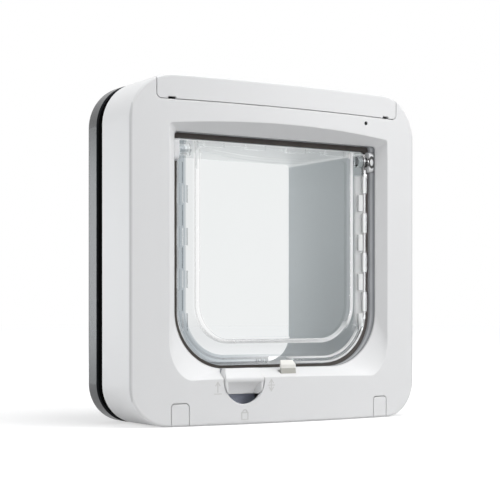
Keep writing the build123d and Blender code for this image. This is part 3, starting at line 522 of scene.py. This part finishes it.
# Flap: clear polished moulding with a raised window, hung on two spigots.
# The window's edge, the rim and the stepped tabs down its sides gather light, painted as milky white, a
# painted highlight that is darker on the left as painted shade.
# Handling leaves faint rub marks, most of them low on the window.
clear = Finish("clear_plastic", Transmission_Weight=1.0, IOR=1.36)
flap_half = 0.0702
flap_bottom = -0.0692
flap_corner = 0.0334
window_half = 0.0571
window_bottom = -0.0547
window_corner = 0.0230
tab_reach = 0.0078
tint_reach = 0.0059
reach_soft = 0.0004
tab_ahead = (0.0319, 0.0325)
hinge_foot = (0.051, 0.054)
wide = abs(clear.along("X"))
towards = -1 * clear.facing("Y")


def outside(half, bottom, corner):
    """How far a point lies outside a U-shaped outline with round lower corners, less than 0 inside."""
    past_x = (wide - (half - corner)).larger(0.0)
    past_z = ((bottom + corner) - clear.along("Z")).larger(0.0)
    return (past_x * past_x + past_z * past_z).root() - corner


# Where a point lies on the flap, each from 0 to 1 apart from the two distances.
past_rim = outside(flap_half, flap_bottom, flap_corner)
past_window = outside(window_half, window_bottom, window_corner)
left_side = 1 - clear.band(clear.along("X"), -0.060, 0.030)
right_side = clear.band(clear.along("X"), 0.030, 0.055)
upright = clear.band(clear.along("Z"), -0.052, -0.036)
low_down = 1 - clear.band(clear.along("Z"), -0.055, 0.010)
below_hinge = 1 - clear.band(clear.along("Z"), *hinge_foot)
on_tab = clear.band(-1 * clear.along("Y"), *tab_ahead)
in_front = clear.band(towards, 0.85, 0.95)
steep = 1 - clear.band(abs(towards), 0.80, 0.95)
rim_face = clear.band(past_rim, -0.0014, -0.0010)
right_rim = clear.band(past_rim, -tab_reach - reach_soft, -tab_reach) * right_side

# Tint: a little darker outside the window; painted shade darkens the left rim and the right edge.
rub = clear.cloud(14.0)
sheet = rub.mix((0.84, 0.86, 0.86, 1), (0.87, 0.885, 0.885, 1))
border = clear.band(past_window, 0.0014, 0.0020) * (1 - upright * (1 - 0.5 * left_side))
edged = border.mix(sheet, (0.76, 0.775, 0.78, 1))
# Painted shade: a darker tint along the left rim.
shaded = clear.band(past_rim, -tint_reach - reach_soft, -tint_reach) * left_side
left_shade_tint = shaded.mix(edged, (0.42, 0.46, 0.485, 1))
# Painted shade: the right edge of the rim is tinted nearly black.
edge_shade_right = rim_face * right_side * upright
clear.colour(edge_shade_right.mix(left_shade_tint, (0.16, 0.15, 0.15, 1)))
rub_lines = clear.band(clear.cloud(420.0, detail=2.0, stretch=(0.12, 1, 1)), 0.60, 0.72)
clear.rough(0.015 + 0.04 * low_down * rub_lines)

# Steep walls and the window's edge would break up what lies behind, so they hardly show.
hollow = 1 - clear.band(past_window, 0.0002, 0.0006)
window_edge = clear.stripe(past_window, -0.0009, 0.0005, 0.0002)
steep_unseen = steep * (0.60 + 0.36 * hollow) * (1 - right_rim)
unseen = steep_unseen.larger(0.96 * window_edge)
(1 - unseen).feed(clear.shader, "Alpha")

# Painted highlight: milky white on the right tabs and in thin lines along the window and the rim.
tab_glint = right_rim * upright * below_hinge * (0.56 + 0.32 * on_tab) * (1 - rim_face)
right_line = clear.stripe(past_window, 0.0014, 0.0030, 0.0004) * right_side * 0.90
left_line = clear.stripe(past_window, -0.0011, 0.0, 0.0003) * left_side * 0.30
side_line = (right_line + left_line) * upright
foot_line = clear.stripe(past_window, -0.0010, 0.0012, 0.0005) * (1 - upright) * 0.75
inner_rim = clear.stripe(past_rim, -0.0042, -0.0034, 0.0005) * 0.80
outer_rim = clear.stripe(past_rim, -0.0012, -0.0004, 0.0005) * 0.65
rim_lines = (inner_rim + outer_rim) * (1 - upright)
low_lines = foot_line.larger(rim_lines) * (1 - 0.7 * left_side)
glint_mask = tab_glint.larger(side_line.larger(low_lines) * in_front)
# Painted shade: the milky lines are much darker on the left.
glint_tone = left_side.mix((0.92, 0.925, 0.925, 1), (0.36, 0.37, 0.38, 1))
painted_glint = clear.pen.node("ShaderNodeBsdfPrincipled", None, {"Base Color": glint_tone, "Roughness": 0.35})
polished = Tone(clear.material.node_tree, clear.shader.outputs[0])
both = clear.pen.node("ShaderNodeMixShader", None, {0: glint_mask, 1: polished, 2: painted_glint})
both.feed(clear.material.node_tree.nodes["Material Output"], "Surface")
dress(clear, "flap_panel")

# Hinge bushes: milky bearing plastic, pressed into pockets of the ring.
# They are small mouldings with a bore for the flap's spigot; the bore's mouth and a ring round it are
# painted near black as painted shade.
milky = Finish("bush_plastic", Specular_IOR_Level=0.5)
hinge_y = -0.0315
hinge_z = 0.0614
mouth_radius = (0.0031, 0.0034)
bore_x = 0.0726
bore_half = 0.0026
bore_height = 0.0043
mist = milky.cloud(200.0)
milk_white = mist.mix((0.78, 0.79, 0.80, 1), (0.86, 0.87, 0.88, 1))
off_y = milky.along("Y") - hinge_y
off_z = milky.along("Z") - hinge_z
# Painted shade: a dark spot round the hinge axis and a dark ring round the bore stand in for the shadow
# inside the bore.
axis_shade = 1 - milky.band((off_y * off_y + off_z * off_z).root(), *mouth_radius)
bore_across = (milky.along("X") - bore_x) * (1 / bore_half)
bore_up = off_z * (1 / bore_height)
bore = (bore_across * bore_across + bore_up * bore_up).root()
bore_shade_ring = milky.band(bore, 0.42, 0.58) * (1 - milky.band(bore, 0.90, 1.0))
painted_bore_shade = axis_shade.larger(bore_shade_ring)
milky.colour(painted_bore_shade.mix(milk_white, (0.006, 0.006, 0.007, 1)))
milky.rough(0.2 + 0.1 * mist)
dress(milky, "hinge_bush_left", "hinge_bush_right")

# Screws: four long ones through the door into the outdoor frame, and four short in the back plate.
# They are zinc-plated steel with rolled threads and a cross recess in a pan head.
zinc = Finish("zinc_steel", Metallic=1.0)
spangle = zinc.cloud(700.0)
zinc.colour(spangle.mix((0.58, 0.58, 0.60, 1), (0.72, 0.72, 0.74, 1)))
zinc.rough(0.28 + 0.2 * spangle)

recess_long = 1.15
recess_wide = 0.26
core_share = 0.84
thread_share = 0.86
crest_share = 0.13
thread_run = 0.98
thread_end = 0.99
long_at = (0.0739, -0.025, 0.097)
short_at = (0.0985, -0.0019, 0.06)
pen, size = new_tree(
    "cross_screw", ["Head Radius", "Head Height", "Shank Radius", "Length", "Turns", "Tilt"]
)


def lifted(shape, rise):
    shift = pen.node("ShaderNodeCombineXYZ", None, {"Z": rise})
    return pen.node("GeometryNodeTransform", None, {"Geometry": shape, "Translation": shift})


blank = pen.node(
    "GeometryNodeMeshCylinder",
    None,
    {"Vertices": 32, "Side Segments": 1, "Radius": size["Head Radius"], "Depth": size["Head Height"]},
)
blank = lifted(blank, size["Head Height"] * 0.5)
bars = []
for long_way, short_way in (("X", "Y"), ("Y", "X")):
    bar_size = pen.node(
        "ShaderNodeCombineXYZ",
        None,
        {
            long_way: size["Head Radius"] * recess_long,
            short_way: size["Head Radius"] * recess_wide,
            "Z": size["Head Height"],
        },
    )
    bars.append(lifted(pen.node("GeometryNodeMeshCube", None, {"Size": bar_size}), size["Head Height"]))
head = pen.node("GeometryNodeMeshBoolean", {"operation": "DIFFERENCE"}, {"Mesh 1": blank, "Mesh 2": bars})
core = pen.node(
    "GeometryNodeMeshCylinder",
    None,
    {
        "Vertices": 20,
        "Side Segments": 1,
        "Radius": size["Shank Radius"] * core_share,
        "Depth": size["Length"],
    },
)
core = lifted(core, size["Length"] * -0.5)
helix = pen.node(
    "GeometryNodeCurveSpiral",
    None,
    {
        "Resolution": 12,
        "Rotations": size["Turns"],
        "Start Radius": size["Shank Radius"] * thread_share,
        "End Radius": size["Shank Radius"] * thread_share,
        "Height": size["Length"] * thread_run,
    },
)
crest = pen.node(
    "GeometryNodeCurvePrimitiveCircle",
    None,
    {"Resolution": 5, "Radius": size["Shank Radius"] * crest_share},
)
thread = pen.node(
    "GeometryNodeCurveToMesh", None, {"Curve": helix, "Profile Curve": crest, "Fill Caps": True}
)
thread = lifted(thread, size["Length"] * -thread_end)
shape = pen.node("GeometryNodeJoinGeometry", None, {"Geometry": [head, core, thread]})
turn = pen.node("ShaderNodeCombineXYZ", None, {"X": size["Tilt"]})
end_tree(pen, shape, size["Geometry"], turn, zinc)


def four(at):
    """Four places, mirrored left to right and top to bottom."""
    x, y, z = at
    return [(side * x, y, level * z) for side in (-1, 1) for level in (-1, 1)]


long_screws = grow(
    "long_screws",
    pen.tree,
    four(long_at),
    {
        "Head Radius": 0.00375,
        "Head Height": 0.0026,
        "Shank Radius": 0.002,
        "Length": 0.0438,
        "Turns": 40.0,
        "Tilt": math.pi / 2,
    },
)
plate_screws = grow(
    "plate_screws",
    pen.tree,
    four(short_at),
    {
        "Head Radius": 0.003,
        "Head Height": 0.0016,
        "Shank Radius": 0.0015,
        "Length": 0.0087,
        "Turns": 10.0,
        "Tilt": -math.pi / 2,
    },
)
for piece, replaced in ((long_screws, "fixing_screws"), (plate_screws, "cover_screws")):
    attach(piece, "housing")
    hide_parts(replaced)

# Studio: pale floor, white surround and soft lamps, seen from the photograph's place.
# Camera, glossy and transmitted rays find white behind the object; the floor keeps its shadow.
ground_z = -0.1052
ground_half = 6
ground = [(-1, -1), (1, -1), (1, 1), (-1, 1)]
floor_mesh = bpy.data.meshes.new("floor")
floor_mesh.from_pydata(
    [(x * ground_half, y * ground_half, ground_z) for x, y in ground], [], [(0, 1, 2, 3)]
)
floor = bpy.data.objects.new("floor", floor_mesh)
bpy.context.scene.collection.objects.link(floor)
pale_floor = Finish("pale_floor", Roughness=1.0, Specular_IOR_Level=0.0, Emission_Strength=1.0)
pale_floor.colour(pale_floor.cloud(3.0).mix((0.53, 0.53, 0.53, 1), (0.55, 0.55, 0.55, 1)))


def seen_white(pen):
    """1 for a ray from the camera, or one that a glossy or clear surface sends on."""
    path = pen.tree.nodes.new("ShaderNodeLightPath")
    kinds = ("Camera", "Glossy", "Transmission")
    rays = [Tone(pen.tree, path.outputs[f"Is {kind} Ray"]) for kind in kinds]
    return pen.sum("MINIMUM", rays[0] + rays[1] + rays[2], 1.0)


from_middle = pale_floor.pen.node(
    "ShaderNodeVectorMath", {"operation": "LENGTH"}, {0: pale_floor.place}, out="Value"
)
far_off = pale_floor.band(from_middle, 0.20, 0.75)
near_white = far_off.mix((0.56, 0.56, 0.56, 1), (0.80, 0.80, 0.80, 1))
seen_white(pale_floor.pen).mix((0, 0, 0, 1), near_white).feed(pale_floor.shader, "Emission Color")
floor_mesh.materials.append(pale_floor.material)

world = bpy.data.worlds.new("studio")
world.use_nodes = True
bpy.context.scene.world = world
backdrop = world.node_tree.nodes["Background"]
seen_white(Tone(world.node_tree)).mix((0.36, 0.363, 0.37, 1), (1, 1, 1, 1)).feed(backdrop, "Color")


def lamp(name, place, power, width, height, aim=(0, 0, 0), colour=(1, 1, 1)):
    light = bpy.data.lights.new(name, "AREA")
    light.shape = "RECTANGLE"
    light.size = width
    light.size_y = height
    light.energy = power
    light.color = colour
    holder = bpy.data.objects.new(name, light)
    bpy.context.scene.collection.objects.link(holder)
    holder.location = place
    way = [a - b for a, b in zip(aim, place)]
    flat = math.hypot(way[0], way[1])
    holder.rotation_euler = (math.pi / 2 + math.atan2(way[2], flat), 0, math.atan2(-way[0], way[1]))
    return holder


lamp("key_lamp", (1.05, -1.25, 0.8), power=14, width=1.0, height=1.0)
lamp("side_lamp", (-1.55, 0.1, 0.5), power=8.5, width=1.0, height=1.0)
lamp("top_lamp", (0.15, -0.35, 1.3), power=9.3, width=0.6, height=0.6)
lamp("strip_lamp", (-0.65, 1.05, 0.0), power=1.2, width=0.30, height=0.42, colour=(0.92, 0.97, 1.0))
bounce = lamp(
    "bounce_lamp", (0.05, 0.32, -0.102), power=1.2, width=0.5, height=0.36, aim=(0.05, 0.32, 1.0)
)
bounce.visible_camera = False
bounce.visible_glossy = False
bounce.visible_transmission = False

camera = bpy.data.cameras.new("camera")
camera.sensor_width = 36
camera.lens = 98.83
camera.shift_x = -0.0045
camera.shift_y = 0.130
viewer = bpy.data.objects.new("camera", camera)
bpy.context.scene.collection.objects.link(viewer)
viewer.location = (-0.4662, -0.7589, -0.0385)
viewer.rotation_euler = (math.pi / 2, 0, math.radians(-31.69))
bpy.context.scene.camera = viewer
bpy.context.scene.view_settings.view_transform = "Standard"
